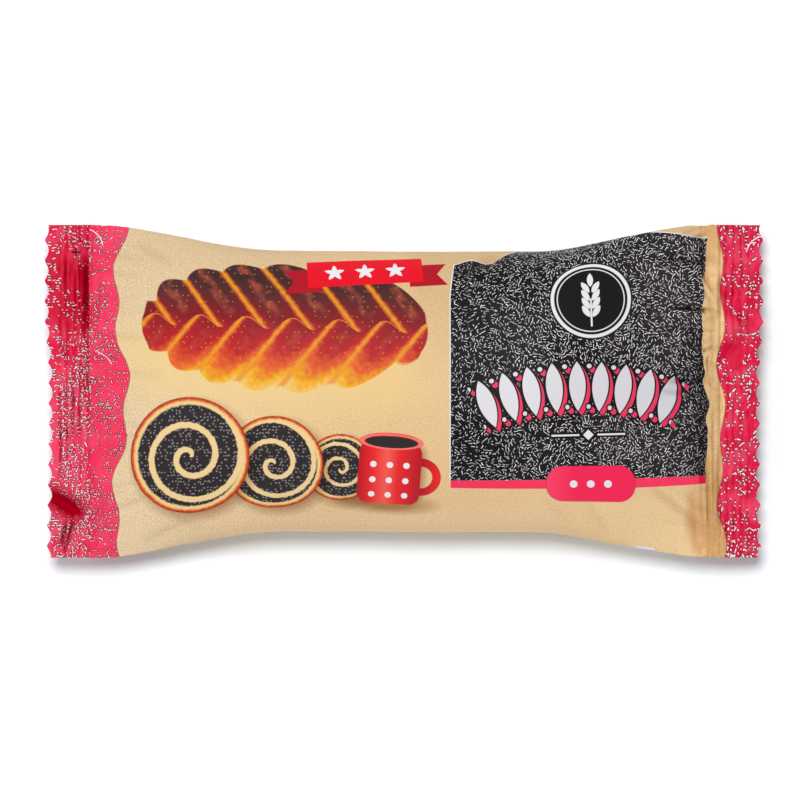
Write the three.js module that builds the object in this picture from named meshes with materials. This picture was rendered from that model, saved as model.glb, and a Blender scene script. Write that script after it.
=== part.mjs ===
// A sealed flow pack with one filled bun inside, lying on its back.
// The pack is a single tube of printed film. Both ends are pressed flat into a ribbed fin and cut
// with a toothed knife. The tube is closed along its back by a seam that lies flat under the bun.
// Units are millimetres: +X runs along the pack, +Y across it, +Z up. The origin is on the ground
// under the middle of the pack.
import * as THREE from "three";
import { LoftGeometry } from "three/addons/geometries/LoftGeometry.js";
import { mergeVertices } from "three/addons/utils/BufferGeometryUtils.js";

const { clamp, euclideanModulo, lerp, smoothstep, seededRandom } = THREE.MathUtils;

// Driving sizes of the film
const LENGTH = 176; // over the tips of the teeth
const FLAT_WIDTH = 81.4; // of the tube pressed flat, so half of its girth
const MIDDLE_WIDTH = 68.5; // where the bun draws the film in
const MIDDLE_LENGTH = 68.4; // of the stretch that keeps the middle width
const SIDE_LEVEL = 9.2; // height of the film's widest line above the ground

// Shoulders, where the film narrows in depth from the bun to a fin
const SHOULDER_ROUNDING = 5; // to either side of where the width starts to grow
const SHOULDER_CURVE = 1.2; // 0 to 2: how late the film reaches its full width
const TOP_SHARE = 0.65; // of the bun's depth that lies above the side level

// End fins
const FIN_LENGTH = 10.7;
const FIN_THICKNESS = 0.6;
const FIN_DROOP = 1.4; // by which the cut edge hangs below the fin's root
const FIN_SWAY = 1; // height of the slow wave across a fin
const SWAY_WAVES = 1.3; // across a fin
const LIP_LENGTH = 3.6; // plain film between the ribs and the cut edge
const RIB_COUNT = 4;
const RIB_HEIGHT = 0.5;
const TOOTH_PITCH = 4.99;
const TOOTH_START = 1.21; // from the +Y side to the first valley between teeth
const TOOTH_DEPTH = 1.05;
const EDGE_TAPER = 0.6; // over which a fin thins out to its teeth
const CUT_STEP = 0.9; // by which the cut stands further back past the step in it
const CUT_STEP_FROM = 18; // in Y
const CUT_STEP_TO = 4;
const CUT_RETURN = 0.4; // of that step, made up again towards the -Y side
const CUT_RETURN_FROM = -8;

// Deep folds across the fins: where each starts and ends, how deep it is, and its half width
const FOLDS = [
  { start: [-87.5, -22], end: [-78.5, -30], depth: 1.1, width: 2.6 },
  { start: [-84, -39], end: [-80.5, -31.5], depth: 0.6, width: 1.8 },
  { start: [77.5, 7.5], end: [85, 17], depth: 0.6, width: 2.2 },
];

// Back seam
const SEAM_WIDTH = 10;
const SEAM_THICKNESS = 0.5;
const SEAM_BEVEL = 0.5;
const SEAM_FOOT = 2.7; // beside the seam, where the film starts to come down to the ground
const SEAM_RELIEF = 9; // beside the seam, where it has come down

// Puckers, short valleys where each fin opens out over the bun
const PUCKERS = 7; // on each side of each fin
const PUCKER_DEPTH = 0.9;
const PUCKER_LENGTH = 15;
const PUCKER_ROOT_WIDTH = 2.1;
const PUCKER_TIP_WIDTH = 4.2;
const PUCKER_FAN = 0.35; // slope of the outermost ones towards the middle line
const PUCKER_SPREAD = 0.15; // random part of that slope
const PUCKER_SHIFT = 4; // random part of their places, to either side
const PUCKER_SEED = 41;

// Fineness of the mesh
const BODY_SECTIONS = 46;
const GIRTH_SAMPLES = 64;
const GIRTH_STEPS = 30;

const HALF_LENGTH = LENGTH / 2;
const HALF_FLAT = FLAT_WIDTH / 2;
const HALF_MIDDLE = MIDDLE_WIDTH / 2;
const FIN_ROOT = HALF_LENGTH - FIN_LENGTH;
const SHOULDER_START = MIDDLE_LENGTH / 2;

// 0 along the middle of the pack, 1 at the root of a fin and beyond it.
function flattening(x) {
  const past = Math.abs(x) - SHOULDER_START;
  const rounded = clamp(past + SHOULDER_ROUNDING, 0, 2 * SHOULDER_ROUNDING) ** 2;
  const eased = past > SHOULDER_ROUNDING ? past : rounded / (4 * SHOULDER_ROUNDING);
  const t = Math.min(eased / (FIN_ROOT - SHOULDER_START), 1);
  return 1 - (1 - t) ** 2 * (1 + SHOULDER_CURVE * t);
}

function halfWidth(x) {
  return lerp(HALF_MIDDLE, HALF_FLAT, flattening(x));
}

// How high the film beside the seam stays at y: it lies on the seam, and sinks to the ground.
function groundLevel(y) {
  const fromSeam = Math.abs(y - SEAM_WIDTH / 2) - SEAM_WIDTH / 2;
  return SEAM_THICKNESS * (1 - smoothstep(fromSeam, SEAM_FOOT, SEAM_RELIEF));
}

// The film's height at y across a section that is `depth` deep. A full section, round the bun, is
// a dome on a flat base; near a fin it thins to a lens.
function filmHeight(y, section, side) {
  const { half, full, depth } = section;
  const across = Math.min(Math.abs(y) / half, 1);
  const topShare = lerp(0.5, TOP_SHARE, full);
  if (side > 0) {
    return SIDE_LEVEL + topShare * depth * (1 - across ** 2) ** (1 / (1 + full));
  }
  const belly = (1 - across ** (2 + 2 * full)) ** (1 / (1 + full));
  return Math.max(SIDE_LEVEL - (1 - topShare) * depth * belly, groundLevel(y));
}

// One side of a section from +half to -half in y: how long the film is there, and the points at
// the given fractions of that length.
function filmLine(section, side, fractions) {
  const points = [];
  const lengths = [0];
  for (let i = 0; i <= GIRTH_SAMPLES; i++) {
    const y = section.half * Math.cos((Math.PI * i) / GIRTH_SAMPLES);
    points.push(new THREE.Vector2(y, filmHeight(y, section, side)));
    if (i > 0) lengths.push(lengths[i - 1] + points[i].distanceTo(points[i - 1]));
  }
  const total = lengths[GIRTH_SAMPLES];
  const along = fractions.map((fraction) => {
    const wanted = fraction * total;
    const i = clamp(lengths.findIndex((length) => length >= wanted), 1, GIRTH_SAMPLES);
    const share = (wanted - lengths[i - 1]) / (lengths[i] - lengths[i - 1]);
    return points[i - 1].clone().lerp(points[i], share);
  });
  return { total, along };
}

// The film doesn't stretch, so a section is as deep as its width and the tube's girth allow.
function sectionAt(x) {
  const section = { half: halfWidth(x), full: 1 - flattening(x), depth: 0 };
  let low = 0;
  let high = HALF_FLAT;
  for (let i = 0; i < GIRTH_STEPS; i++) {
    section.depth = (low + high) / 2;
    const girth = filmLine(section, 1, []).total + filmLine(section, -1, []).total;
    if (girth > 2 * FLAT_WIDTH) high = section.depth;
    else low = section.depth;
  }
  return section;
}

// A random number between -size and size.
function spread(size) {
  return lerp(-size, size, seededRandom());
}

function makePuckers() {
  seededRandom(PUCKER_SEED);
  const puckers = [];
  for (const end of [-1, 1]) {
    for (const side of [-1, 1]) {
      for (let i = 0; i < PUCKERS; i++) {
        const across = ((i + 0.5) / PUCKERS) * 2 - 1;
        puckers.push({
          end,
          side,
          y: HALF_FLAT * across + spread(PUCKER_SHIFT),
          slope: -PUCKER_FAN * across + spread(PUCKER_SPREAD),
          length: PUCKER_LENGTH * lerp(0.6, 1, seededRandom()),
          depth: PUCKER_DEPTH * lerp(0.5, 1, seededRandom()),
        });
      }
    }
  }
  return puckers;
}

const puckers = makePuckers();

// How deep the puckers press in at x, for film that lies at flatY when it is flat.
function puckerDepth(x, flatY, side) {
  let depth = 0;
  for (const pucker of puckers) {
    if (pucker.side !== side || Math.sign(x) !== pucker.end) continue;
    const inward = FIN_ROOT - Math.abs(x);
    if (inward < 0 || inward > pucker.length) continue;
    const along = inward / pucker.length;
    const width = lerp(PUCKER_ROOT_WIDTH, PUCKER_TIP_WIDTH, along);
    const offset = Math.abs(flatY - pucker.y - pucker.slope * inward) / width;
    depth += pucker.depth * Math.sin(Math.PI * Math.sqrt(along)) * Math.max(0, 1 - offset);
  }
  return depth;
}

// How deep the folds press in at a place on a fin.
function foldDepth(x, flatY) {
  let depth = 0;
  for (const { start, end, depth: deepest, width } of FOLDS) {
    const line = new THREE.Line3(new THREE.Vector3(...start, 0), new THREE.Vector3(...end, 0));
    const place = new THREE.Vector3(x, flatY, 0);
    const along = line.closestPointToPointParameter(place, true);
    const away = line.at(along, new THREE.Vector3()).distanceTo(place);
    depth += deepest * Math.max(0, 1 - away / width) * Math.sqrt(Math.sin(Math.PI * along));
  }
  return depth;
}

// The height of a fin's ribs, its droop, its sway and its folds, shared by both layers of the film.
function finOffset(x, flatY, rib) {
  const beyond = Math.max(0, Math.abs(x) - FIN_ROOT) / FIN_LENGTH;
  const sway = Math.sin((flatY / FLAT_WIDTH) * SWAY_WAVES * 2 * Math.PI + Math.sign(x));
  const folded = beyond > 0 ? foldDepth(x, flatY) : 0;
  return rib * RIB_HEIGHT - beyond * FIN_DROOP + beyond * FIN_SWAY * sway - folded;
}

// Fractions of the flat width at which the film is drawn: its sides, each tooth's tip and valley,
// and a pair at each long edge of the back seam.
function columnFractions() {
  const fractions = [0, 1];
  for (let y = TOOTH_START; y < FLAT_WIDTH; y += TOOTH_PITCH / 2) fractions.push(y / FLAT_WIDTH);
  for (const edge of [0, SEAM_WIDTH]) {
    for (const y of [edge - SEAM_BEVEL / 2, edge + SEAM_BEVEL / 2]) {
      fractions.push(0.5 - y / FLAT_WIDTH);
    }
  }
  return fractions.sort((a, b) => a - b);
}

const columns = columnFractions();

// How far film at this fraction of the flat width stands back from the tips of the teeth.
function toothDepth(fraction) {
  const teeth = (fraction * FLAT_WIDTH - TOOTH_START) / TOOTH_PITCH;
  return TOOTH_DEPTH * Math.abs(1 - 2 * euclideanModulo(teeth, 1));
}

// How far the cut stands back at flatY from the pack's full length, because it runs askew.
function cutStep(flatY) {
  const step = 1 - smoothstep(flatY, CUT_STEP_TO, CUT_STEP_FROM);
  const madeUp = 1 - smoothstep(flatY, -HALF_FLAT, CUT_RETURN_FROM);
  return CUT_STEP * (step - CUT_RETURN * madeUp);
}

function isSeam(fraction) {
  const y = (0.5 - fraction) * FLAT_WIDTH;
  return y > 0 && y < SEAM_WIDTH;
}

// Stations from the middle of the pack out to one cut edge. `rib` is -0.5 to 0.5 on the ribs, and
// the film is open but in the cut edge, where its two layers meet.
function makeStations() {
  const stations = [];
  const bodyStep = (2 * FIN_ROOT) / BODY_SECTIONS;
  for (let i = 0; i < BODY_SECTIONS / 2; i++) {
    stations.push({ x: bodyStep * (i + 0.5), rib: 0, open: true });
  }
  const halfRib = (FIN_LENGTH - LIP_LENGTH) / (2 * RIB_COUNT);
  for (let i = 0; i <= 2 * RIB_COUNT; i++) {
    stations.push({ x: FIN_ROOT + halfRib * i, rib: i % 2 ? 0.5 : -0.5, open: true });
  }
  stations.push({ x: HALF_LENGTH - TOOTH_DEPTH - EDGE_TAPER, rib: 0, open: true });
  stations.push({ x: HALF_LENGTH, rib: 0, open: false });
  return stations;
}

// One ring of film, from the pack's +Y side over its top to the -Y side and back under it.
function makeRing({ x, rib, open }) {
  const section = sectionAt(x);
  const ring = [];
  for (const side of [1, -1]) {
    const { along } = filmLine(section, side, columns);
    const layer = columns.map((fraction, i) => {
      const { x: y, y: height } = along[i];
      const flatY = (0.5 - fraction) * FLAT_WIDTH;
      const apart = open && i > 0 && i < columns.length - 1;
      let z = height + finOffset(x, flatY, rib);
      if (apart) z += side * (FIN_THICKNESS / 2 - puckerDepth(x, flatY, side));
      if (apart && side < 0 && isSeam(fraction)) z -= SEAM_THICKNESS;
      const floor = isSeam(fraction) ? 0 : groundLevel(y);
      const beyond = Math.max(0, Math.abs(x) - FIN_ROOT) / FIN_LENGTH;
      const back = beyond * cutStep(flatY) + (open ? 0 : toothDepth(fraction));
      return new THREE.Vector3(x - Math.sign(x) * back, y, Math.max(z, floor));
    });
    if (side < 0) layer.reverse();
    ring.push(...layer.slice(0, -1));
  }
  return ring;
}

function makePack() {
  const outward = makeStations();
  const inward = outward.map((station) => ({ ...station, x: -station.x })).reverse();
  const loft = new LoftGeometry([...inward, ...outward].map(makeRing));
  const shell = new THREE.BufferGeometry();
  shell.setAttribute("position", loft.getAttribute("position"));
  shell.setIndex(loft.getIndex());
  const closed = mergeVertices(shell, 1e-4);
  closed.computeVertexNormals();
  const film = new THREE.MeshStandardMaterial({ color: 0xe6c195, roughness: 0.45 });
  const pack = new THREE.Mesh(closed, film);
  pack.name = "pack";
  return pack;
}

const model = new THREE.Group();
model.add(makePack());

export default model;
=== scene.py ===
# A sealed flow pack with one filled bun inside, lying on its back on a pale floor.
import math

import bpy
import numpy as np
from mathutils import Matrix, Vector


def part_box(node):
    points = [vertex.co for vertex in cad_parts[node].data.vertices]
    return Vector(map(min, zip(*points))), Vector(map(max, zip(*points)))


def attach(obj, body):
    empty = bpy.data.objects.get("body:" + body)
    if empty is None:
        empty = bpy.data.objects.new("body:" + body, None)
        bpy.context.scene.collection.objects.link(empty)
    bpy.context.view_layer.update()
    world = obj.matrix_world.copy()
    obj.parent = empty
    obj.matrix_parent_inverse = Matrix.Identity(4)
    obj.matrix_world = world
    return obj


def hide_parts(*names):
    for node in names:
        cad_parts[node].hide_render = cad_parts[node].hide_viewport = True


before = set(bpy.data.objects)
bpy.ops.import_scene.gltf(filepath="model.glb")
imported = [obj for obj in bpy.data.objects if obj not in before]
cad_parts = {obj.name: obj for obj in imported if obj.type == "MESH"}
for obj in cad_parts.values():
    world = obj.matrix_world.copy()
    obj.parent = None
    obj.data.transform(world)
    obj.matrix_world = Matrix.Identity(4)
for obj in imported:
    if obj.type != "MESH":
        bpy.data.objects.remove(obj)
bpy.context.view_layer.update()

# The film's driving sizes, as in the solid, with lengths in millimetres
MM = 0.001
LOW, HIGH = (np.array(corner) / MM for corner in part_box("pack"))
LENGTH, FLAT_WIDTH = (HIGH - LOW)[:2]
MIDDLE_WIDTH = 68.5
MIDDLE_LENGTH = 68.4
SIDE_LEVEL = 9.2
SHOULDER_ROUNDING = 5
SHOULDER_CURVE = 1.2
TOP_SHARE = 0.65
FIN_LENGTH = 10.7
FIN_DROOP = 1.4
FIN_SWAY = 1
SWAY_WAVES = 1.3
LIP_LENGTH = 3.6
RIB_COUNT = 4
RIB_HEIGHT = 0.5
TOOTH_PITCH = 4.99
TOOTH_START = 1.21
TOOTH_DEPTH = 1.05
CUT_STEP = 0.9
CUT_STEP_FROM = 18
CUT_STEP_TO = 4
CUT_RETURN = 0.4
CUT_RETURN_FROM = -8
SEAM_WIDTH = 10
SEAM_THICKNESS = 0.5
SEAM_FOOT = 2.7
SEAM_RELIEF = 9

HALF_LENGTH = LENGTH / 2
HALF_FLAT = FLAT_WIDTH / 2
GIRTH = 2 * FLAT_WIDTH
FIN_ROOT = HALF_LENGTH - FIN_LENGTH
RIB_END = HALF_LENGTH - LIP_LENGTH
RIB_ZONE = FIN_LENGTH - LIP_LENGTH
SHOULDER_START = MIDDLE_LENGTH / 2

# Fineness of the film's mesh
COLUMNS = 328
SECTION_SAMPLES = 200
GIRTH_STEPS = 30
LAYER_GAP = 0.08  # from the middle of a fin to either layer of film
FLOOR_GAP = 0.02  # from the floor to the film
TOLERANCE = 1e-6
SHARP_ANGLE = 70  # in degrees, between faces that aren't shaded as one

# Where the rings of the mesh lie in each half of the pack: from, to, and how far apart
RING_ZONES = (
    (0, 30, 2.0),
    (30, 45, 1.2),
    (45, 62, 0.7),
    (62, 74, 0.42),
    (74, FIN_ROOT, 0.22),
    (FIN_ROOT, RIB_END, 0.2),
    (RIB_END, HALF_LENGTH, 0.4),
)


def mix(low, high, share):
    return low + (high - low) * share


def smooth_step(value, low, high):
    t = np.clip((value - low) / (high - low), 0, 1)
    return t * t * (3 - 2 * t)


# The form of the pack


def flattening(x):
    """0 along the middle of the pack, 1 at the root of a fin and beyond it."""
    past = np.abs(x) - SHOULDER_START
    rounded = np.clip(past + SHOULDER_ROUNDING, 0, 2 * SHOULDER_ROUNDING) ** 2
    eased = np.where(past > SHOULDER_ROUNDING, past, rounded / (4 * SHOULDER_ROUNDING))
    t = np.minimum(eased / (FIN_ROOT - SHOULDER_START), 1)
    return 1 - (1 - t) ** 2 * (1 + SHOULDER_CURVE * t)


def half_outline(half, full, depth):
    """Half of each crosswise section, from the middle of the front round to the middle of the back,
    and how far along the film each point of it is."""
    across = np.sin(np.linspace(0, math.pi / 2, SECTION_SAMPLES))[None, :]
    top_share = mix(0.5, TOP_SHARE, full)
    top = SIDE_LEVEL + top_share * depth * (1 - across**2) ** (1 / (1 + full))
    belly = (1 - across ** (2 + 2 * full)) ** (1 / (1 + full))
    back = np.maximum(SIDE_LEVEL - (1 - top_share) * depth * belly, 0)
    y = np.concatenate([half * across, (half * across)[:, -2::-1]], axis=1)
    z = np.concatenate([top, back[:, -2::-1]], axis=1)
    steps = np.hypot(np.diff(y, axis=1), np.diff(z, axis=1))
    run = np.concatenate([np.zeros((len(y), 1)), np.cumsum(steps, axis=1)], axis=1)
    return y, z, run


def sections(x):
    """The half outlines at each x, each as deep as its width and the film's girth allow."""
    flat = flattening(x)[:, None]
    half = mix(MIDDLE_WIDTH / 2, HALF_FLAT, flat)
    low, high = np.zeros_like(half), np.full_like(half, HALF_FLAT)
    for _ in range(GIRTH_STEPS):
        depth = (low + high) / 2
        too_long = half_outline(half, 1 - flat, depth)[2][:, -1:] > FLAT_WIDTH
        high = np.where(too_long, depth, high)
        low = np.where(too_long, low, depth)
    return *half_outline(half, 1 - flat, depth), depth


def noise(u, v, cell, seed):
    """Smooth random hills and hollows between -1 and 1, about one to a cell, closed round the film."""
    rows = round(GIRTH / cell)
    steps = int(LENGTH / cell) + 4
    grid = np.random.default_rng(seed).uniform(-1, 1, (steps, rows))
    a = (u + HALF_LENGTH + 1) / cell
    b = (v / GIRTH % 1) * rows
    i, j = np.floor(a).astype(int), np.floor(b).astype(int) % rows
    s, t = smooth_step(a - np.floor(a), 0, 1), smooth_step(b - np.floor(b), 0, 1)
    below = mix(grid[i, j], grid[i + 1, j], s)
    above = mix(grid[i, (j + 1) % rows], grid[i + 1, (j + 1) % rows], s)
    return mix(below, above, t)


VALLEY_ROUNDING = 0.12  # of a valley's bottom, in shares of its half width


def valley(u, v, start, end, depth, width):
    """The depth of a narrow valley along a line on the film, shallow at the line's ends. A negative
    depth makes a ridge."""
    along_u, along_v = end[0] - start[0], end[1] - start[1]
    reach = along_u**2 + along_v**2
    t = np.clip(((u - start[0]) * along_u + (v - start[1]) * along_v) / reach, 0, 1)
    away = np.hypot(u - start[0] - t * along_u, v - start[1] - t * along_v) / width
    away = np.hypot(away, VALLEY_ROUNDING) - VALLEY_ROUNDING
    return depth * np.maximum(1 - away, 0) ** 1.5 * np.sin(np.pi * t) ** 0.5


# Deep folds across the fins, in both layers of the film: start, end, depth and half width
DEEP_FOLDS = (
    ((-88.5, -24.2), (-78.0, -30.8), 3.2, 3.3),
    ((-84, -39), (-80.5, -31.5), 0.8, 1.5),
    ((77.5, 7.5), (85, 17), 1.0, 2.3),
    ((79.0, 19.8), (86.5, 16.6), 0.6, 1.8),
    ((-84.0, 18.2), (-79.0, 20.2), 0.7, 0.9),
    ((-84.0, 16.8), (-79.0, 18.8), -0.5, 0.8),
    ((-82.2, 14.5), (-80.4, 9.5), 0.5, 0.8),
    ((-84.5, 11.0), (-81.5, 7.5), 0.4, 0.7),
    ((-77.9, 36), (-77.8, 12), 2.4, 1.0),
    ((-77.9, 9), (-77.9, -2), 1.2, 0.8),
    ((-77.0, 35), (-76.8, 13), -0.5, 0.7),
    ((-84.1, -38.5), (-82.4, -31.5), 1.3, 0.6),
    ((-83.6, -39.3), (-81.6, -31.5), -0.6, 0.6),
    ((-83.1, -39.5), (-80.9, -31.8), 1.1, 0.6),
    ((-86.0, -39.6), (-84.4, -34.5), 0.6, 0.7),
    ((-84.1, 1), (-84.0, -22), 0.8, 0.45),
    ((-82.4, 3), (-82.5, -18), 0.4, 0.4),
    ((-80.9, 5), (-80.9, -12), 0.5, 0.4),
    ((-79.3, 3), (-79.4, -20), 0.5, 0.4),
    ((-82.8, 33), (-82.7, 19), 0.6, 0.4),
    ((-81.6, 34), (-81.5, 18), 0.5, 0.4),
    ((-80.4, 32), (-80.4, 18), 0.7, 0.4),
    ((-79.3, 34), (-79.3, 17), 0.6, 0.4),
    ((77.0, -12), (76.8, -38), 0.7, 0.8),
    ((77.0, 30), (77.0, 18), 0.5, 0.8),
    ((83.0, 27), (79.0, 22), 0.35, 1.0),
    ((84.5, 22.5), (86.5, 20.5), 0.4, 0.8),
)

# Creases that show on the front alone: start, end, depth and half width
FRONT_CREASES = (
    ((-74.5, 31), (-75.2, 17), 0.5, 1.0),
    ((-80.0, -33), (-73.0, -28.5), 0.6, 1.6),
    ((74.3, -14), (74.9, -40), 0.85, 0.9),
    ((75.6, -4), (75.9, -36), 0.6, 0.7),
    ((72.7, -18), (73.3, -36), 0.5, 1.1),
    ((74.2, 9.5), (74.4, 3.5), 0.5, 0.6),
    ((74.6, 24), (76.4, 15), 0.4, 1.1),
    ((73.0, 32), (75.0, 27), 0.35, 1.0),
    ((61.0, -24), (72.5, -33), 0.6, 1.9),
    ((62.5, -22.8), (74.0, -31.5), -0.3, 1.5),
    ((70.5, -24), (72.5, -40), 0.6, 3.0),
    ((73.2, 30), (76.0, 27), 0.4, 0.7),
    ((73.6, 24), (76.6, 21), 0.4, 0.7),
    ((72.6, 9.6), (78.0, 11.4), 0.8, 0.9),
    ((73.0, 8.4), (76.8, 9.6), -0.4, 0.8),
    ((64.5, 20.8), (77.4, 19.4), 1.0, 1.0),
    ((73.0, 18.4), (77.0, 17.8), -0.4, 0.9),
    ((73.0, 29.6), (76.0, 23.6), 0.9, 0.8),
    ((74.2, 29.8), (76.6, 25.4), -0.4, 0.7),
    ((45.0, -28), (50.0, -38), 0.3, 2.0),
    ((34.0, -27), (41.0, -36), 0.2, 1.6),
    ((71.5, 38.5), (75.5, 31), 0.6, 1.5),
    ((59.5, 33.4), (77.5, 30.6), 0.7, 1.3),
    ((60.0, 31.2), (72.0, 30.0), -0.3, 1.5),
    ((68.0, 16.5), (73.0, 12.0), 0.3, 1.2),
    ((12.5, 30), (24.0, 37.5), 0.7, 2.6),
    ((-66.0, 37), (-56.0, 32), 0.4, 2.2),
    ((-64.0, -38), (-52.0, -33), 0.4, 2.2),
    ((-58.0, -30), (-49.0, -37), 0.25, 1.6),
)

ROOT_PUCKERS = 26  # on each side of each fin
PUCKER_SEED = 7
CRUMPLE_SEED = 23


def puckers(u, v):
    """Short valleys that run from the root of each fin out over the bun, on both sides of the film."""
    rng = np.random.default_rng(PUCKER_SEED)
    total = np.zeros_like(u)
    for end in (-1, 1):
        for i in range(2 * ROOT_PUCKERS):
            place = (i + rng.uniform(0.1, 0.9)) / (2 * ROOT_PUCKERS) * GIRTH - FLAT_WIDTH
            across = (place + HALF_FLAT) % FLAT_WIDTH / HALF_FLAT - 1
            reach = 5 + 15 * rng.random() ** 2
            facing = 1 if abs(place) < HALF_FLAT else -1
            sideways = rng.uniform(-0.2, 0.2) - 0.3 * across * facing
            start = (end * (FIN_ROOT - 0.3), place)
            finish = (end * (FIN_ROOT - reach), place + sideways * reach)
            total -= valley(u, v, start, finish, rng.uniform(0.1, 0.4), rng.uniform(0.8, 2.0))
    return total


def relief(u, v, depth):
    """How far the film stands out from the pack's smooth form, in its loose parts."""
    inward = np.maximum(FIN_ROOT - np.abs(u), 0)
    shoulder = smooth_step(np.abs(u), SHOULDER_START, FIN_ROOT)
    out = 0.25 * noise(u, v, 19, CRUMPLE_SEED) + 0.08 * noise(u, v, 8.5, CRUMPLE_SEED + 1)
    ridges = 0.5 - np.abs(noise(u, v, 7, CRUMPLE_SEED + 2))
    ridges += 0.5 * (0.5 - np.abs(noise(u, v, 3.7, CRUMPLE_SEED + 3)))
    out += 0.25 * shoulder * ridges
    wave = np.sin(inward / 2.3 * 2 * math.pi + 3 * noise(u, v, 11, CRUMPLE_SEED + 4))
    strength = np.clip(0.4 + noise(u, v, 9, CRUMPLE_SEED + 5), 0, 1)
    out += 0.3 * wave * strength * np.exp(-inward / 3.5)
    out += puckers(u, v)
    for start, end, deep, wide in FRONT_CREASES:
        out -= valley(u, v, start, end, deep, wide)
    return out * np.clip(depth / 4, 0, 1)


def rib_form(u, side_y):
    """The ribs pressed across a fin, as a wave between -1 and 1 that fades out past both ends."""
    past_root = np.abs(u) - FIN_ROOT
    past_ribs = smooth_step(past_root, RIB_ZONE - 0.1, RIB_ZONE + 0.7)
    in_ribs = smooth_step(past_root, -1.6, -0.2) * (1 - past_ribs)
    evenness = np.where(u < 0, 0.1 + 0.9 * smooth_step(side_y, -24, -14), 0.7)
    uneven = 0.7 * noise(u, side_y, 8, CRUMPLE_SEED + 6) + 0.5 * noise(u, side_y, 3, CRUMPLE_SEED + 11)
    pressed = np.clip(evenness + uneven, 0.1, 1.6)
    wander = 0.45 * noise(u, side_y, 7, CRUMPLE_SEED + 8)
    wander = wander + 0.3 * noise(u, side_y, 2.7, CRUMPLE_SEED + 12)
    wander = wander * smooth_step(past_root, 0, 1)
    wave = np.abs(np.sin((past_root + wander) * RIB_COUNT / RIB_ZONE * math.pi)) ** 0.8
    return (2 * wave - 1) * in_ribs * pressed


def fin_height(u, side_y):
    """The ribs, droop, sway and deep folds of a fin, shared by both layers of its film."""
    past_root = np.abs(u) - FIN_ROOT
    share = np.clip(past_root, 0, FIN_LENGTH) / FIN_LENGTH
    sway = FIN_SWAY * np.sin(side_y / FLAT_WIDTH * SWAY_WAVES * 2 * math.pi + np.sign(u))
    curl = 0.35 * noise(u, side_y, 6, CRUMPLE_SEED + 7) * share
    fan = np.cos(tooth_phase(side_y) * 2 * math.pi) * smooth_step(past_root, RIB_ZONE, FIN_LENGTH)
    crumpled = np.clip(0.35 + 1.2 * noise(u, side_y, 14, CRUMPLE_SEED + 9), 0, 1)
    crumpled = crumpled * smooth_step(past_root, -1, 1)
    crumple = 0.4 * (0.4 - np.abs(noise(u, side_y, 2.3, CRUMPLE_SEED + 10))) * crumpled
    folds = sum(valley(u, side_y, *fold) for fold in DEEP_FOLDS) * smooth_step(past_root, -6, -1)
    bent = RIB_HEIGHT / 2 * rib_form(u, side_y) + share * (sway - FIN_DROOP) + curl + crumple
    return bent - 0.16 * fan - folds


def fold_shade(u, v, side_y):
    """How deep in folds and between ribs each point of the film lies, up to 1, and below 0 on ribs. The
    material paints shade in the folds from it, and a highlight on the ribs.
    """
    in_folds = 0.42 * sum(valley(u, side_y, *line, 1.3 * width) for *line, width in DEEP_FOLDS)
    in_creases = 0.35 * sum(valley(u, v, *crease) for crease in FRONT_CREASES) - 0.3 * puckers(u, v)
    return np.clip(in_folds + in_creases - 0.22 * rib_form(u, side_y), -0.4, 1)


def tooth_phase(side_y):
    """0 in each valley between teeth, and a half on each tip."""
    return (HALF_FLAT - side_y - TOOTH_START) / TOOTH_PITCH % 1


def tooth_depth(side_y):
    """How far the cut stands back from the teeth's tips, which are pointed, with rounded valleys."""
    return TOOTH_DEPTH * np.sin(np.abs(1 - 2 * tooth_phase(side_y)) * math.pi / 2)


def cut_step(side_y):
    """How far the cut stands back from the pack's full length, because it runs askew."""
    step = 1 - smooth_step(side_y, CUT_STEP_TO, CUT_STEP_FROM)
    made_up = 1 - smooth_step(side_y, -HALF_FLAT, CUT_RETURN_FROM)
    return CUT_STEP * (step - CUT_RETURN * made_up)


def cut_back(x, side_y, spare=0):
    """How far the teeth and the askew cut pull the film back from the place of its ring."""
    lip = np.clip((np.abs(x) - RIB_END) / LIP_LENGTH, 0, 1)
    share = np.clip((np.abs(x) - FIN_ROOT) / FIN_LENGTH, 0, 1)
    return lip * (tooth_depth(side_y) + spare) + share * cut_step(side_y)


def station_places():
    """Where the film's rings lie along the pack: close together in the fins, wide in the middle."""
    half = [np.linspace(a, b, round((b - a) / step), endpoint=False) for a, b, step in RING_ZONES]
    half = np.concatenate([*half, [HALF_LENGTH]])
    return np.concatenate([-half[:0:-1], half])


def ground_level(y):
    """How high the film's back lies over the floor, as the seam lifts it."""
    from_seam = np.abs(y - SEAM_WIDTH / 2) - SEAM_WIDTH / 2
    return SEAM_THICKNESS * (1 - smooth_step(from_seam, SEAM_FOOT, SEAM_RELIEF))


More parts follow.
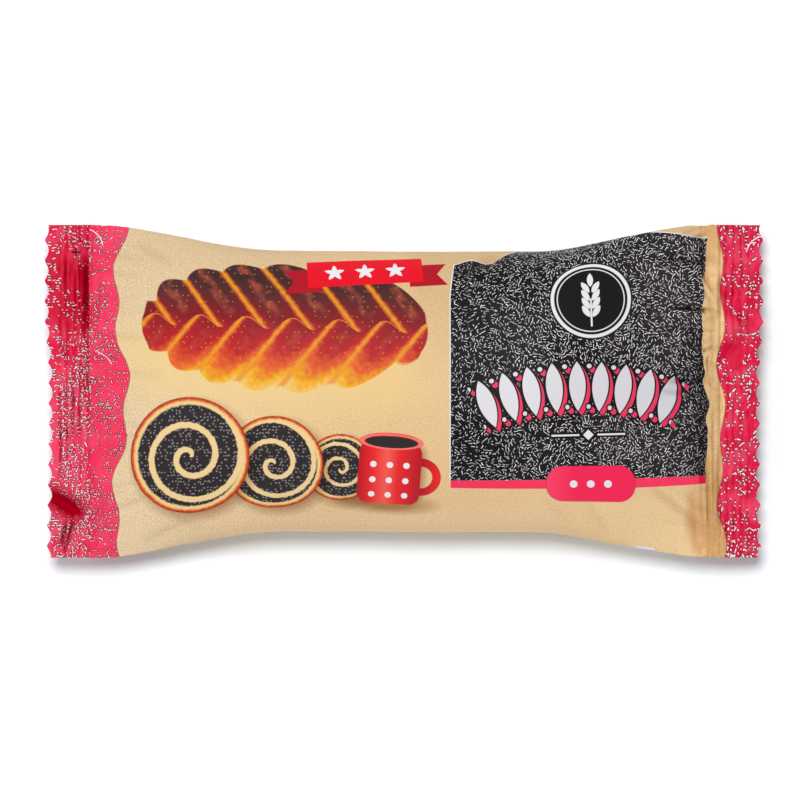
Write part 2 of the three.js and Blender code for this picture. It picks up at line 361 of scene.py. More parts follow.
def film_points():
    """The film's points by ring and by column, their places on the unrolled film, and their shade."""
    x = station_places()
    v = (np.arange(COLUMNS) - COLUMNS // 2) * (GIRTH / COLUMNS)
    section_y, section_z, run, depth = sections(x)
    y = np.stack([np.interp(np.abs(v), r, line) for r, line in zip(run, section_y)]) * np.sign(v)
    z = np.stack([np.interp(np.abs(v), r, line) for r, line in zip(run, section_z)])
    z = np.maximum(z, np.where(np.abs(v) > HALF_FLAT, ground_level(y), 0))
    side_y = np.where(np.abs(v) > HALF_FLAT, np.sign(v) * FLAT_WIDTH - v, v)[None, :] + 0 * y
    u = x[:, None] - np.sign(x)[:, None] * cut_back(x[:, None], side_y)
    film_v = v[None, :] + 0 * y
    points = np.stack([u, y, z], axis=2)

    along = np.gradient(points, axis=0)
    round_it = np.roll(points, -1, axis=1) - np.roll(points, 1, axis=1)
    outward = np.cross(round_it, along)
    outward /= np.linalg.norm(outward, axis=2, keepdims=True) + 1e-9
    outward *= np.sign((outward * (points - [0, 0, SIDE_LEVEL])).sum(2).mean())
    rise = relief(u, film_v, depth)
    points += outward * rise[:, :, None]

    points[:, :, 2] += fin_height(u, side_y)
    front = np.where(np.abs(np.abs(v) - HALF_FLAT) < TOLERANCE, 0, np.sign(HALF_FLAT - np.abs(v)))
    closed = np.abs(x) > HALF_LENGTH - TOLERANCE
    fin = smooth_step(np.abs(x), FIN_ROOT - 3, FIN_ROOT)
    points[:, :, 2] += (LAYER_GAP * fin * ~closed)[:, None] * front[None, :]
    on_ground = np.where(np.abs(film_v) > HALF_FLAT, ground_level(points[:, :, 1]) + FLOOR_GAP, 0)
    points[:, :, 2] = np.maximum(points[:, :, 2], on_ground)
    return points, u, film_v, fold_shade(u, film_v, side_y)


def make_object(name, points, faces, film_places, material):
    """A smooth mesh, in metres, whose corners know their place on the film."""
    mesh = bpy.data.meshes.new(name)
    mesh.from_pydata((points * MM).tolist(), [], faces.tolist())
    mesh.update()
    film_map = mesh.uv_layers.new(name="film")
    film_map.uv.foreach_set("vector", film_places.astype(np.float32).ravel())
    baked = film_places / (LENGTH, GIRTH) + 0.5
    bake_map = mesh.uv_layers.new(name="OFBake")
    bake_map.uv.foreach_set("vector", np.clip(baked, 0, 1).astype(np.float32).ravel())
    mesh.shade_smooth()
    mesh.set_sharp_from_angle(angle=math.radians(SHARP_ANGLE))
    mesh.materials.append(material)
    piece = bpy.data.objects.new(name, mesh)
    bpy.context.scene.collection.objects.link(piece)
    return piece


def make_film(material):
    """The film as one closed skin, shut along the cut edges."""
    points, u, v, shade = film_points()
    rings, columns = u.shape
    ids = np.arange(rings * columns).reshape(rings, columns)
    # At the cut edges the back layer shares the front layer's points.
    v_row = v[0]
    partner = np.array([np.argmin(np.abs(v_row - (np.sign(w) * FLAT_WIDTH - w))) for w in v_row])
    is_back = np.abs(v_row) > HALF_FLAT + TOLERANCE
    for end in (0, rings - 1):
        ids[end] = np.where(is_back, ids[end][partner], ids[end])
    ring, column = np.meshgrid(np.arange(rings - 1), np.arange(columns), indexing="ij")
    after = (column + 1) % columns
    corners = [(ring, column), (ring + 1, column), (ring + 1, after), (ring, after)]
    faces = np.stack([ids[a, b] for a, b in corners], axis=2).reshape(-1, 4)
    places = np.stack([np.stack([u[a, b], v[a, b]], axis=2) for a, b in corners], axis=2)
    last = column == columns - 1
    for k in (2, 3):
        places[:, :, k, 1] = np.where(last, FLAT_WIDTH, places[:, :, k, 1])
    piece = make_object("film", points.reshape(-1, 3), faces, places.reshape(-1, 2), material)
    shades = piece.data.attributes.new("shade", "FLOAT", "POINT")
    shades.data.foreach_set("value", shade.astype(np.float32).ravel())
    return piece


# Fields: numbers that a material's nodes work out at every point of the film


class Field:
    def __init__(self, socket):
        self.socket = socket

    def __add__(self, other):
        return calc("ADD", self, other)

    def __sub__(self, other):
        return calc("SUBTRACT", self, other)

    def __rsub__(self, other):
        return calc("SUBTRACT", other, self)

    def __mul__(self, other):
        return calc("MULTIPLY", self, other)

    def __truediv__(self, other):
        return calc("DIVIDE", self, other)

    def __mod__(self, other):
        return calc("FLOORED_MODULO", self, other)

    def __neg__(self):
        return calc("MULTIPLY", self, -1)

    def __abs__(self):
        return calc("ABSOLUTE", self)


printed_film = bpy.data.materials.new("printed_film")
printed_film.use_nodes = True
nodes, links = printed_film.node_tree.nodes, printed_film.node_tree.links
nodes.clear()


def connect(value, socket):
    """Feeds a socket from a field, or sets it to a constant."""
    if isinstance(value, Field):
        links.new(value.socket, socket)
    else:
        socket.default_value = value


def calc(operation, *values, clamp=False):
    """The field that one math node makes from fields and constants."""
    node = nodes.new("ShaderNodeMath")
    node.operation = operation
    node.use_clamp = clamp
    for value, socket in zip(values, node.inputs):
        connect(value, socket)
    return Field(node.outputs[0])


def least(*fields):
    result = fields[0]
    for field in fields[1:]:
        result = calc("MINIMUM", result, field)
    return result


def most(*fields):
    result = fields[0]
    for field in fields[1:]:
        result = calc("MAXIMUM", result, field)
    return result


def sine(field):
    return calc("SINE", field)


def length(a, b):
    return calc("SQRT", a * a + b * b)


def fade(field, low, high):
    """0 below low, 1 above high and even between them; low may be the larger."""
    node = nodes.new("ShaderNodeMapRange")
    connect(field, node.inputs["Value"])
    node.inputs["From Min"].default_value = low
    node.inputs["From Max"].default_value = high
    return Field(node.outputs["Result"])


def vector(a, b):
    node = nodes.new("ShaderNodeCombineXYZ")
    for value, socket in zip((a, b), node.inputs):
        connect(value, socket)
    return Field(node.outputs[0])


def split(field):
    node = nodes.new("ShaderNodeSeparateXYZ")
    connect(field, node.inputs[0])
    return [Field(socket) for socket in node.outputs]


def mottle(place, cell, detail=1.0, shift=0.0):
    """Cloudy noise from 0 to 1, with patches about as large as the cell."""
    node = nodes.new("ShaderNodeTexNoise")
    node.noise_dimensions = "2D"
    connect(vector(place[0] + shift, place[1]), node.inputs["Vector"])
    node.inputs["Scale"].default_value = 1 / cell
    node.inputs["Detail"].default_value = detail
    return Field(node.outputs["Fac"])


def moved(place, centre, turn=0.0):
    """The place as seen from centre, with its first axis turned by that many degrees."""
    a, b = place[0] - centre[0], place[1] - centre[1]
    if not turn:
        return a, b
    cos, sin = math.cos(math.radians(turn)), math.sin(math.radians(turn))
    return a * cos + b * sin, b * cos - a * sin


# Distances in millimetres to the edge of a shape, below 0 inside it


def disc(place, radius):
    return length(*place) - radius


def oval(place, half_a, half_b):
    return (length(place[0] / half_a, place[1] / half_b) - 1) * min(half_a, half_b)


def rounded_box(place, half_a, half_b, corner):
    a = abs(place[0]) - (half_a - corner)
    b = abs(place[1]) - (half_b - corner)
    outside = length(most(a, 0.0), most(b, 0.0))
    return outside + least(most(a, b), 0.0) - corner


def grain(place, half_length, half_width):
    """A grain of corn: two arcs that meet in a point at each end of the second axis."""
    radius = (half_length**2 + half_width**2) / (2 * half_width)
    return length(abs(place[0]) + (radius - half_width), place[1]) - radius


def inside(distance, edge=0.09):
    """1 inside a shape and 0 outside it, with a soft edge."""
    return calc("MULTIPLY_ADD", distance, -1 / edge, 0.5, clamp=True)


# Colours of the print, and of the light and shade painted onto it, from 0 to 255 as on a screen

INK = 0.81  # the share of each colour that is printed, because the light on it is above white


def linear(colour):
    parts = [part / 255 for part in colour]
    parts = [p / 12.92 if p <= 0.04045 else ((p + 0.055) / 1.055) ** 2.4 for p in parts]
    return [p * INK for p in parts] + [1.0]


CREAM = (234, 197, 148)
CREAM_SHADE = (217, 180, 128)
GREY_CREAM = (230, 207, 171)
LOWER_RIGHT_LIGHT_CREAM = (248, 214, 164)
STRIP_LIGHT_CREAM = (246, 205, 149)
STRIP_SHADE_TAN = (198, 143, 72)
GLOW = (240, 207, 138)
SPECK = (222, 158, 92)
UPPER_SHADE_CREAM = (206, 178, 138)
CORNER_SHADE_CREAM = (213, 178, 132)
LOWER_EDGE_LIGHT_CREAM = (252, 214, 166)
HOLLOW_SHADE_TAN = (230, 170, 108)
DASH_GREY = (96, 78, 80)
DARK_GRAIN = (205, 164, 112)
PALE_GRAIN = (255, 228, 184)
CRIMSON = (234, 20, 74)
SHOULDER_SHEEN_CRIMSON = (254, 64, 103)
ROSE = (252, 80, 116)
DEEP_CRIMSON = (206, 0, 46)
SEED_RIM = (104, 0, 22)
CRIMSON_FOLD_SHADE = (170, 0, 28)
RIB_GLEAM = (255, 100, 128)
BAND_LINE = (150, 50, 40)
RIBBON_RED = (236, 8, 36)
RULE_RED = (248, 50, 93)
RULE_LIGHT_RED = (258, 62, 102)
RULE_FOLD_SHADE_RED = (236, 14, 64)
PILL_RED = (252, 40, 88)
PALE_PILL_RED = (255, 74, 108)
ROW_SHADOW_RED = (240, 62, 100)
BLACK = (20, 17, 18)
SHADE_BLACK = (6, 4, 5)
SHEEN_GREY_BLACK = (58, 52, 53)
WHITE = (240, 237, 241)
ROW_WHITE = (225, 222, 228)
DULL_SEED = (200, 194, 194)
SEED_WHITE = (270, 268, 270)  # above 255, as the seeds shine more than the rest
PINK_WHITE = (270, 250, 258)
BURNT_CRUST = (66, 36, 36)
DARK_CRUST = (84, 38, 38)
CRUST = (134, 20, 30)
RED_CRUST = (188, 30, 36)
EDGE_ORANGE = (228, 98, 42)
GOLD = (240, 176, 24)
CRUST_SHINE = (206, 96, 70)
CRUMB = (240, 208, 152)
FILLING = (46, 40, 41)
FILLING_SEED = (150, 142, 142)
RED = (236, 40, 44)
RED_SHADE = (180, 14, 34)
RED_GLEAM = (248, 92, 84)
RIM_RED = (250, 120, 108)

# These four are laid on by MULTIPLY and darken what is under them. INK is in them too. The first is
# a shadow drawn in the print; the other three are painted shade in folds and where the film turns
# away from the light.
SOFT_SHADOW = (206, 178, 150)
FOLD_SHADE_TINT = (165, 108, 98)
PANEL_FOLD_SHADE = (60, 52, 54)
TURNED_AWAY_SHADE = (128, 120, 122)


def paint(under, colour, cover, blend="MIX"):
    """A colour, plain or painted, laid over another where cover is 1."""
    node = nodes.new("ShaderNodeMix")
    node.data_type = "RGBA"
    node.blend_type = blend
    connect(cover, node.inputs["Factor"])
    for value, socket in ((under, node.inputs[6]), (colour, node.inputs[7])):
        connect(value if isinstance(value, Field) else linear(value), socket)
    return Field(node.outputs[2])


def gradient(field, *stops):
    """A colour for each value of the field, from (value, colour) stops between 0 and 1."""
    node = nodes.new("ShaderNodeValToRGB")
    connect(field, node.inputs[0])
    elements = node.color_ramp.elements
    while len(elements) < len(stops):
        elements.new(0.5)
    for element, (position, colour) in zip(elements, stops):
        element.position = position
        element.color = linear(colour)
    return Field(node.outputs[0])


def cells(place, pitch, disorder):
    """Random cells about as wide as the pitch: the place of each one's seed, and three random
    numbers that are the same all over a cell. Without disorder they are squares."""
    node = nodes.new("ShaderNodeTexVoronoi")
    node.voronoi_dimensions = "2D"
    node.inputs["Randomness"].default_value = disorder
    node.inputs["Scale"].default_value = 1 / pitch
    connect(vector(*place), node.inputs["Vector"])
    return split(Field(node.outputs["Position"])), split(Field(node.outputs["Color"]))


GONE = 5  # added to the distance to a shape, to leave the shape out


def flecks(place, pitch, size, keep=1.0, turn=1.0, stretch=1.0, disorder=0.8):
    """The distance to the nearest of many short rounded dashes, at most one to a cell. size is
    their length and width, keep the share of cells that have one, and turn how far they differ in
    direction, where 1 is all ways."""
    seed, chance = cells((place[0] / stretch, place[1]), pitch, disorder)
    a = place[0] - seed[0] * stretch
    b = place[1] - seed[1]
    angle = (chance[0] - 0.5) * (math.pi * turn)
    cos, sin = calc("COSINE", angle), sine(angle)
    half, radius = (size[0] - size[1]) / 2, size[1] / 2
    far = most(abs(a * cos + b * sin) - (chance[2] + 0.4) * half, 0.0)
    distance = length(far, b * cos - a * sin) - radius
    return distance + calc("GREATER_THAN", chance[1], keep) * GONE


def patched_flecks(place, patch, pitch, size, keep):
    """Flecks that lie nearly alike over small patches."""
    _, chance = cells((place[0] + 40, place[1]), patch, 1.0)
    angle = chance[0] * math.pi
    cos, sin = calc("COSINE", angle), sine(angle)
    turned = place[0] * cos + place[1] * sin, place[1] * cos - place[0] * sin
    return flecks(turned, pitch, size, keep=keep, turn=0.5, stretch=1.4, disorder=0.55)


# The print. A place on the unrolled film is a pair in millimetres: u along the pack, and v across
# it from the middle of the front.


def ground(place):
    """The cream ground with its faint clouds, its grain and its sparse specks, and a strip beside the
    right fin. Painted shade darkens the upper left, the corner by the panel, a hollow low on the right
    and the strip's folds, which makes the strip browner; painted light makes the lower edge, the lower
    right and the strip paler."""
    u, v = place
    clouds = fade(mottle(place, 26, 2), 0.35, 0.7)
    colour = paint(CREAM, CREAM_SHADE, clouds * 0.3)
    colour = paint(colour, GREY_CREAM, fade(u, -10, -60) * 0.9)
    # Painted shade: the cream is darker toward the upper left
    colour = paint(colour, UPPER_SHADE_CREAM, fade(u, 0, -30) * fade(v, 8, 38) * 0.5)
    # Painted shade where the film folds beside the panel's upper left corner
    corner = fade(u, -3, 4) * fade(v, 2, 26)
    colour = paint(colour, CORNER_SHADE_CREAM, corner * 0.8)
    # Painted light: paler cream on the lower edge, where the film turns down from the light
    lit_lower_edge = fade(v, -28, -36) * fade(u, -52, -40) * fade(u, 50, 30)
    colour = paint(colour, LOWER_EDGE_LIGHT_CREAM, lit_lower_edge * 0.85)
    # Painted light: paler cream on the lower right, where the film slopes down to the fin
    colour = paint(colour, LOWER_RIGHT_LIGHT_CREAM, fade(u, 20, 55) * fade(v, -20, -27) * 0.7)
    # Painted light: paler cream on the strip beside the right fin, whose slope gets less light
    colour = paint(colour, STRIP_LIGHT_CREAM, fade(u, 69, 73))
    # Painted shade in the strip beside the right fin: tan at its top, in streaks and in blotches
    colour = paint(colour, STRIP_SHADE_TAN, fade(u, 71.5, 72.5) * fade(v, 30, 37) * 0.55)
    streaks = fade(mottle((u, v * 0.12), 0.6, 2), 0.42, 0.72) * fade(u, 72.8, 74.2)
    low = fade(v, -14, -24)
    shade_blotches = fade(mottle(place, 2.4, 4, 90), 0.42, 0.68) * fade(u, 72.0, 74.0)
    colour = paint(colour, STRIP_SHADE_TAN, streaks * (low * 0.5 + 0.1))
    colour = paint(colour, STRIP_SHADE_TAN, shade_blotches * (0.4 - low * 0.2))
    line = inside(rounded_box(moved(place, (74.15, 7.0), -3), 0.1, 2.0, 0.1), 0.15)
    colour = paint(colour, DASH_GREY, line * 0.8)
    # More painted shade, tan over the strip's lower part
    colour = paint(colour, STRIP_SHADE_TAN, fade(u, 72.6, 74.4) * low * 0.6)
    # Painted shade in a hollow of the film low beside the right fin
    patch = inside(oval(moved(place, (71.9, -33.5), 8), 2.5, 9), 1.4)
    colour = paint(colour, HOLLOW_SHADE_TAN, patch * 0.65)
    specks = inside(flecks(place, 4.6, (0.55, 0.34), keep=0.6), 0.2)
    colour = paint(colour, SPECK, specks * 0.55)
    strength = 1 - fade(u, -20, 8) * 0.4
    colour = paint(colour, DARK_GRAIN, fade(mottle(place, 0.42, 1), 0.45, 0.8) * strength * 0.75)
    return paint(colour, PALE_GRAIN, fade(mottle(place, 0.42, 1, 35), 0.5, 0.8) * strength * 0.6)


PLAIT_CENTRE, PLAIT_HALF = (-29, 16.5), (35, 16.2)
STRAND_PITCH, STRAND_SLANT = 11.2, 0.75


def plait(colour, place):
    """A plaited loaf lying level: two rows of slanted strands, baked dark on top and pale below."""
    along, up = moved(place, PLAIT_CENTRE, -2)
    rough = mottle(place, 1.4, 3) - 0.5
    middle = sine(along * (2 * math.pi / STRAND_PITCH) + 0.6) * 1.6
    upper = inside(middle - up, 0.5)
    slanted = up * (upper * 2 - 1) * STRAND_SLANT + along - upper * (STRAND_PITCH / 2)
    ridge = abs(sine(slanted * (math.pi / STRAND_PITCH)))
    tips = oval((abs(along) - 30.5, up + 1.2), 4.3, 6.2)
    strands = oval((along, up), *PLAIT_HALF) - ridge * 1.7 + 1.0
    edge = least(most(strands, oval((along, up), 34.4, 24)), tips)
    glow = fade(edge, 12, -2) * fade(up, 2, -8) * fade(along, 38, 28)
    colour = paint(colour, GLOW, glow * 0.85)
    baked = up + ridge * 4 + rough * 4 + abs(up - middle) * 0.12
    crust = gradient(
        fade(baked, -15, 17),
        (0.0, CRUMB), (0.09, GLOW), (0.18, GOLD), (0.28, EDGE_ORANGE), (0.40, RED_CRUST),
        (0.62, CRUST), (0.84, DARK_CRUST), (1.0, BURNT_CRUST),
    )
    seam = fade(ridge + rough * 0.25, 0.36, 0.04)
    crust = paint(crust, EDGE_ORANGE, seam * 0.85)
    crust = paint(crust, GOLD, seam * seam * 0.6)
    shine = fade(ridge, 0.86, 0.99) * fade(abs(up - middle), 1.5, 5) * fade(up, -9, -1)
    crust = paint(crust, CRUST_SHINE, shine * fade(mottle(place, 2.5, 2), 0.35, 0.7) * 0.55)
    crust = paint(crust, GOLD, inside(flecks(place, 1.3, (0.34, 0.3), keep=0.3), 0.2) * 0.45)
    return paint(colour, crust, inside(edge, 0.25))


def slice_of_roll(colour, place, centre, radius, turn):
    """A round slice: a thin crust, a pale crumb and a dark filling rolled up in it."""
    near = moved(place, centre, turn)
    rough = mottle(place, 1.1, 2) - 0.5
    far = length(*near) + rough * 0.5
    under = disc(moved(place, (centre[0] + 1.2, centre[1] - 1.4)), radius)
    colour = paint(colour, SOFT_SHADOW, fade(under, 2, -2), "MULTIPLY")
    face = gradient(
        fade(far, 0, radius),
        (0.0, CRUMB), (0.84, CRUMB), (0.92, GLOW), (0.955, EDGE_ORANGE), (1.0, CRUST),
    )
    around = calc("ARCTAN2", near[1], near[0]) / (2 * math.pi)
    wraps = (far / radius * 2.35 - around) % 1
    filling = fade(abs(wraps - 0.5), 0.4, 0.36) * fade(far, radius * 0.89, radius * 0.86)
    seeds = paint(FILLING, FILLING_SEED, inside(flecks(place, 0.8, (0.5, 0.26), keep=0.6), 0.15))
    face = paint(face, seeds, filling)
    return paint(colour, face, inside(disc(near, radius), 0.2))


MUG_CENTRE, MUG_HALF = (-3.6, -20.5), (7.6, 8.2)


def mug(colour, place):
    """A red mug with white dots, full of a dark drink."""
    near = moved(place, MUG_CENTRE, -4)
    rim = moved(near, (0, MUG_HALF[1]))
    body = least(rounded_box(near, *MUG_HALF, 2.8), oval(rim, MUG_HALF[0], 2.2))
    handle = abs(length(near[0] - MUG_HALF[0], near[1] + 0.4) - 3.9) - 1.05
    foot = oval(moved(near, (0, -MUG_HALF[1])), 9, 2.4)
    under = least(foot, rounded_box(moved(near, (0.6, -0.6)), *MUG_HALF, 3))
    colour = paint(colour, SOFT_SHADOW, fade(under, 1.4, -1.0), "MULTIPLY")
    round_it = gradient(
        fade(near[0], -8, 12),
        (0.0, RED_SHADE), (0.2, RED), (0.36, RED_GLEAM), (0.5, RED), (0.8, RED_SHADE), (1.0, RED),
    )
    colour = paint(colour, round_it, inside(least(body, handle), 0.15))
    spots = (near[0] + 2) % 4 - 2, (near[1] + 3.6) % 4 - 2
    on_body = inside(rounded_box(moved(near, (0, -1.6)), 6.6, 5.4, 1))
    colour = paint(colour, WHITE, inside(disc(spots, 0.78)) * on_body)
    colour = paint(colour, RIM_RED, inside(abs(oval(rim, 7.0, 1.75)) - 0.2))
    return paint(colour, FILLING, inside(oval(moved(rim, (0, -0.1)), 6.5, 1.45)))


RIBBON_CENTRE, RIBBON_HALF = (-9.5, 31.0), (14.0, 4.1)
STAR_STEP = 7.4


def star(place, tip):
    """A star with five points, the first of them up."""
    around = calc("ARCTAN2", place[0], place[1]) * (2.5 / math.pi)
    pointed = abs(around % 1 - 0.5) * 2
    return (length(*place) - (calc("POWER", pointed, 1.3) * 0.58 + 0.42) * tip) * 0.75


def ribbon(colour, place):
    """A red ribbon with forked ends and three white stars."""
    near = moved(place, RIBBON_CENTRE, 4)
    tail = abs(near[0]) - RIBBON_HALF[0] - 1.2, near[1] + 2.0
    tails = most(abs(tail[0]) - 4.6, abs(tail[1]) - 3.4, (tail[0] - 2.2 - abs(tail[1]) * 0.7) * 0.8)
    colour = paint(colour, RED_SHADE, inside(tails))
    colour = paint(colour, RIBBON_RED, inside(rounded_box(near, *RIBBON_HALF, 0.5)))
    beat = (near[0] + STAR_STEP / 2) % STAR_STEP - STAR_STEP / 2
    stars = most(star((beat, near[1]), 2.5), abs(near[0]) - 1.5 * STAR_STEP)
    return paint(colour, WHITE, inside(stars))


def wavy_line(v, base, *waves):
    """How far along the pack a wavy line lies at v: each wave has a length, a size and a phase."""
    for wave_length, size, phase in waves:
        base = sine(v * (2 * math.pi / wave_length) + phase) * size + base
    return base


PANEL_LEFT, PANEL_RIGHT = 11.25, 73.45
PANEL_TOP, PANEL_FOOT = 34.1, 22.25  # above and below the middle, at the panel's left edge
EDGE_WIDTH = 0.24
DESIGN_TURN = 1.5  # in degrees, of the designs on the panel


def panel_face(place):
    """The panel's black, with a painted sheen where light would catch the film and painted shade on its
    lower left and where it turns away from the light, and the pale seeds strewn on it.
    """
    u, v = place
    # Painted sheen, a greyer black where light would catch the film, plus faint random mottle
    corner_sheen = fade(v - u * 0.3, 24, 29) * fade(u, 27, 20)
    lit = inside(oval(moved(place, (66, 19.5)), 8, 12), 9)
    lit = lit + inside(oval(moved(place, (56, -13.6)), 11, 6), 7) * 0.8
    sheen_and_mottle = most(lit * 0.75, corner_sheen, fade(u, 42, 62) * 0.35)
    sheen_and_mottle = fade(mottle(place, 12, 2), 0.45, 0.65) * 0.2 + sheen_and_mottle
    black = paint(BLACK, SHEEN_GREY_BLACK, sheen_and_mottle)
    # Painted shade, a deeper black on the panel's lower left
    black = paint(black, SHADE_BLACK, fade(u, 24, 13) * fade(v, -16, -8) * 0.8)
    # The seeds are duller in the corner's painted sheen
    pale = paint(DULL_SEED, SEED_WHITE, fade(mottle(place, 2, 1, 40), 0.3, 0.6) - corner_sheen * 0.7)
    bent = u + mottle(place, 1.1, 0) * 0.5, v + mottle(place, 1.1, 0, 20) * 0.5
    left_side = fade(u, 38, 22)
    seeds = patched_flecks(bent, 2.8, 0.72, (0.85, 0.14), keep=0.86 - left_side * 0.14)
    black = paint(black, pale, inside(seeds, 0.07))
    # Painted shade where the film turns away from the light: low on the right edge, and on the left
    turned_away_shade = fade(u, 68.5, 72) * fade(v, 14, 9) + left_side * 0.3
    return paint(black, TURNED_AWAY_SHADE, turned_away_shade * 0.7, "MULTIPLY")


def dark_panel(colour, place):
    """A near-black panel, with a thin white edge and a red rule below."""
    u, v = place
    along = fade(u, PANEL_LEFT, PANEL_RIGHT)
    corner = sine(u * 0.63 + 3.7) * fade(u, 27, 20) * 0.8
    gathered = fade(u, 21.3, 28) * fade(u, 73, 55)
    above = v - (along * 3.4 + gathered * 5.3 + corner + PANEL_TOP)
    below = along * along * 1.65 - PANEL_FOOT - v
    slack = wavy_line(v, 0, (52, 0.69, 3.01), (9, 0.22, -2.37))
    left = fade(v, 24, 34) + PANEL_LEFT - u
    right = u - PANEL_RIGHT - slack - mottle(place, 3.5, 1, 60) * 1.2 + 0.6
    panel = most(above, below, left, right)
    edged = most(above - EDGE_WIDTH, left - EDGE_WIDTH, below, right)
    colour = paint(colour, WHITE, inside(edged))
    colour = paint(colour, panel_face(place), inside(panel))
    thickness = sine(along * math.pi) * 0.45 + 2.0
    rule = most(below - thickness, -below, left, right)
    # The rule's red, paler toward its right end as painted light, and painted shade in the fold there
    rule_red = paint(RULE_RED, RULE_LIGHT_RED, along)
    rule_red = paint(rule_red, RULE_FOLD_SHADE_RED, fade(u, 71.9, 72.3) * 0.9)
    return paint(colour, rule_red, inside(rule))


PILL_CENTRE = (45.3, -23.0)


def pill(colour, place):
    """A bare crimson lozenge on the rule, with three dots."""
    near = moved(place, PILL_CENTRE, 1)
    shape = rounded_box(near, 10.8, 4.6, 4.0)
    colour = paint(colour, BAND_LINE, inside(shape - 0.12) * 0.8)
    crimson = paint(PILL_RED, PALE_PILL_RED, fade(near[0], -4, -11) * 0.8)
    colour = paint(colour, crimson, inside(shape))
    for step in (-1, 0, 1):
        colour = paint(colour, WHITE, inside(disc(moved(near, (4.2 * step, 0)), 0.95)))
    return colour


RING_CENTRE = (45.3, 22.8)


def ornament(colour, place):
    """A ring with an ear of wheat in it."""
    near = moved(place, RING_CENTRE, DESIGN_TURN)
    far = length(*near)
    colour = paint(colour, BLACK, inside(far - 10.2))
    colour = paint(colour, WHITE, inside(abs(far - 9.4) - 0.42))
    colour = paint(colour, WHITE, inside(abs(far - 8.2) - 0.14))
    stem = rounded_box(moved(near, (0, -3.4)), 0.22, 3.6, 0.2)
    ear = [stem, grain(moved(near, (0, 5.2)), 1.9, 0.75)]
    for row in range(4):
        mirrored = (abs(near[0]), near[1])
        ear.append(grain(moved(mirrored, (1.25, 3.2 - 2.1 * row), -32), 1.75, 0.72))
    return paint(colour, WHITE, inside(least(*ear)))


ARC_RADIUS = 66
ARC_CENTRE = (43.6, 1.2 - ARC_RADIUS)
ARC_STEP = 5.6


def arched_row(colour, place):
    """An arched row of white grains, outlined in black, over their red shadow."""

    def row(offset, grow):
        near = moved(place, (ARC_CENTRE[0] + offset[0], ARC_CENTRE[1] + offset[1]), DESIGN_TURN)
        around = calc("ARCTAN2", near[0], near[1]) * ARC_RADIUS
        height = length(*near) - ARC_RADIUS
        beat = (around + ARC_STEP / 2) % ARC_STEP - ARC_STEP / 2
        whole = grain((beat, height), 6.0 + grow, 2.0 + grow)
        dots = length((around % ARC_STEP) - ARC_STEP / 2, abs(height) - 4.9) - 0.55 - grow
        return most(least(whole, dots), abs(around) - 4.5 * ARC_STEP)

    shadow_far, shadow_near = row((0.95, -0.95), 0.15), row((0.5, -0.5), 0.15)
    colour = paint(colour, BLACK, inside(least(row((0, 0), 0.65), row((0.95, -0.95), 0.6))))
    colour = paint(colour, ROW_SHADOW_RED, inside(least(shadow_far, shadow_near)))
    colour = paint(colour, BLACK, inside(row((0, 0), 0.38)))
    return paint(colour, ROW_WHITE, inside(row((0, 0), 0.0)))


FLOURISH_CENTRE = (44.6, -10.6)


def flourish(colour, place):
    """A thin white line to each side of a small lozenge."""
    near = moved(place, FLOURISH_CENTRE, DESIGN_TURN)
    lozenge = (abs(near[0]) + abs(near[1]) - 1.3) * 0.7
    line = most(abs(near[1]) - 0.22, abs(abs(near[0]) - 5.6) - 3.4)
    colour = paint(colour, BLACK, inside(least(lozenge, line) - 0.5))
    return paint(colour, WHITE, inside(least(lozenge, line)))


def left_seeds(place, shaded):
    """Small thin seeds, crowded over the ribs and in a fan over the lip, fewer on the shoulder."""
    u, v = place
    crowd = fade(mottle(place, 8, 2), 0.36, 0.6)
    on_shoulder = fade(u, -77.5, -75.5)
    low = fade(v, 12, 0) * 0.08
    keep = (crowd * 0.5 + low + 0.17) * (1 - on_shoulder * 0.35) - shaded * 0.42
    on_ribs = least(
        flecks(place, 0.6, (0.4, 0.205), keep=keep, disorder=1.0),
        flecks((u + 57, v), 1.1, (0.88, 0.23), keep=keep * 0.7, disorder=1.0),
    )
    fan = flecks(place, 0.66, (0.85, 0.23), keep=0.36, turn=0.5, stretch=1.5)
    on_lip = calc("LESS_THAN", u, -RIB_END)
    on_ribs = on_ribs + on_lip * GONE + on_shoulder * 0.035
    return least(on_ribs, fan + (1 - on_lip) * GONE) + fade(u, -50, -40) * GONE


def right_seeds(place):
    """Plumper seeds, in strings and clusters."""
    u, v = place
    crowd = fade(mottle(place, 6, 2, 30), 0.38, 0.62) + fade(v, -34, -39) * 0.6
    small = flecks(place, 0.85, (0.52, 0.29), keep=crowd * 0.5 + 0.1, disorder=1.0)
    large = flecks((u + 31, v), 1.7, (1.15, 0.31), keep=crowd * 0.45 + 0.05, disorder=1.0)
    return least(small, large) + fade(u, 50, 40) * GONE


